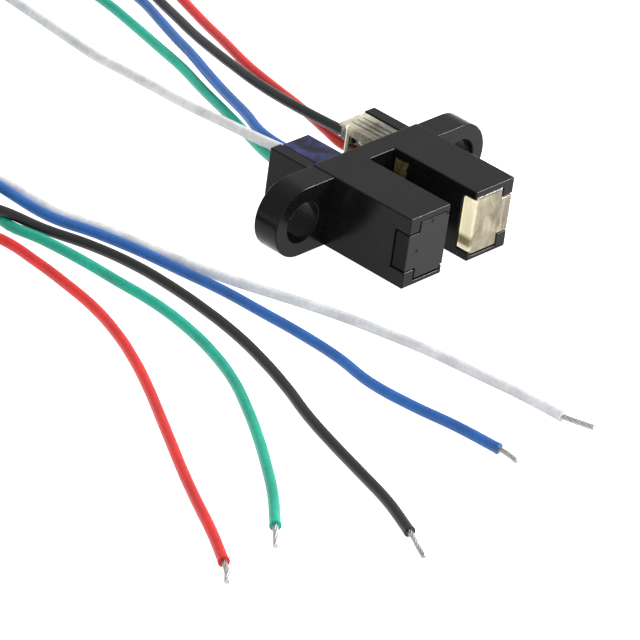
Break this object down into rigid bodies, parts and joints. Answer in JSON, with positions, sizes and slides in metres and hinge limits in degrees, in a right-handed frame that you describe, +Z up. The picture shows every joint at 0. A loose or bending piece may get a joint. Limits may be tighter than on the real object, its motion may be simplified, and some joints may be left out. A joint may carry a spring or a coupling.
{
  "type": "slotted optical sensor",
  "caption": "U-shaped optical switch with a narrow slot between a light emitter and a photo sensor, two mounting ears and loose insulated leads with bare ends.",
  "frame": {"origin": "middle of the body's footprint on the table, with the coil and the free leads left out", "axes": "+X from the sensor arm's ear to the emitter arm's ear, -Y towards the arm tips, +Y towards the leads, +Z up from the side it lies on"},
  "size_m": [0.0672, 0.1126, 0.0084],
  "materials": {
    "housing": "moulded dark grey, faintly satin",
    "clear_shell": "cloudy clear moulding with a cream tint",
    "violet_shell": "deep violet moulding that passes infrared",
    "clear_resin": "clear moulded resin",
    "dark_resin": "dark moulded resin",
    "leg": "tin plated strip",
    "solder": "bright solder",
    "red_insulation": "satin vinyl",
    "black_insulation": "satin vinyl",
    "white_insulation": "satin vinyl",
    "blue_insulation": "satin vinyl",
    "green_insulation": "satin vinyl",
    "coil_insulation": "satin vinyl in five colours",
    "tie": "moulded nylon",
    "tinned_copper": "tinned strands twisted together"
  },
  "bodies": {
    "root": {"housing": "housing", "emitter_shell": "clear_shell", "sensor_shell": "violet_shell", "emitter_diode": "clear_resin", "photo_chip": "dark_resin", "anode_leg": "leg", "cathode_leg": "leg", "supply_leg": "leg", "output_leg": "leg", "ground_leg": "leg", "red_joint": "solder", "black_joint": "solder", "white_joint": "solder", "blue_joint": "solder", "green_joint": "solder", "red_lead_in": "red_insulation", "black_lead_in": "black_insulation", "white_lead_in": "white_insulation", "blue_lead_in": "blue_insulation", "green_lead_in": "green_insulation", "lead_coil": "coil_insulation", "cable_tie": "tie", "red_lead_out": "red_insulation", "black_lead_out": "black_insulation", "white_lead_out": "white_insulation", "blue_lead_out": "blue_insulation", "green_lead_out": "green_insulation", "red_end": "tinned_copper", "black_end": "tinned_copper", "white_end": "tinned_copper", "blue_end": "tinned_copper", "green_end": "tinned_copper"}
  },
  "joints": []
}
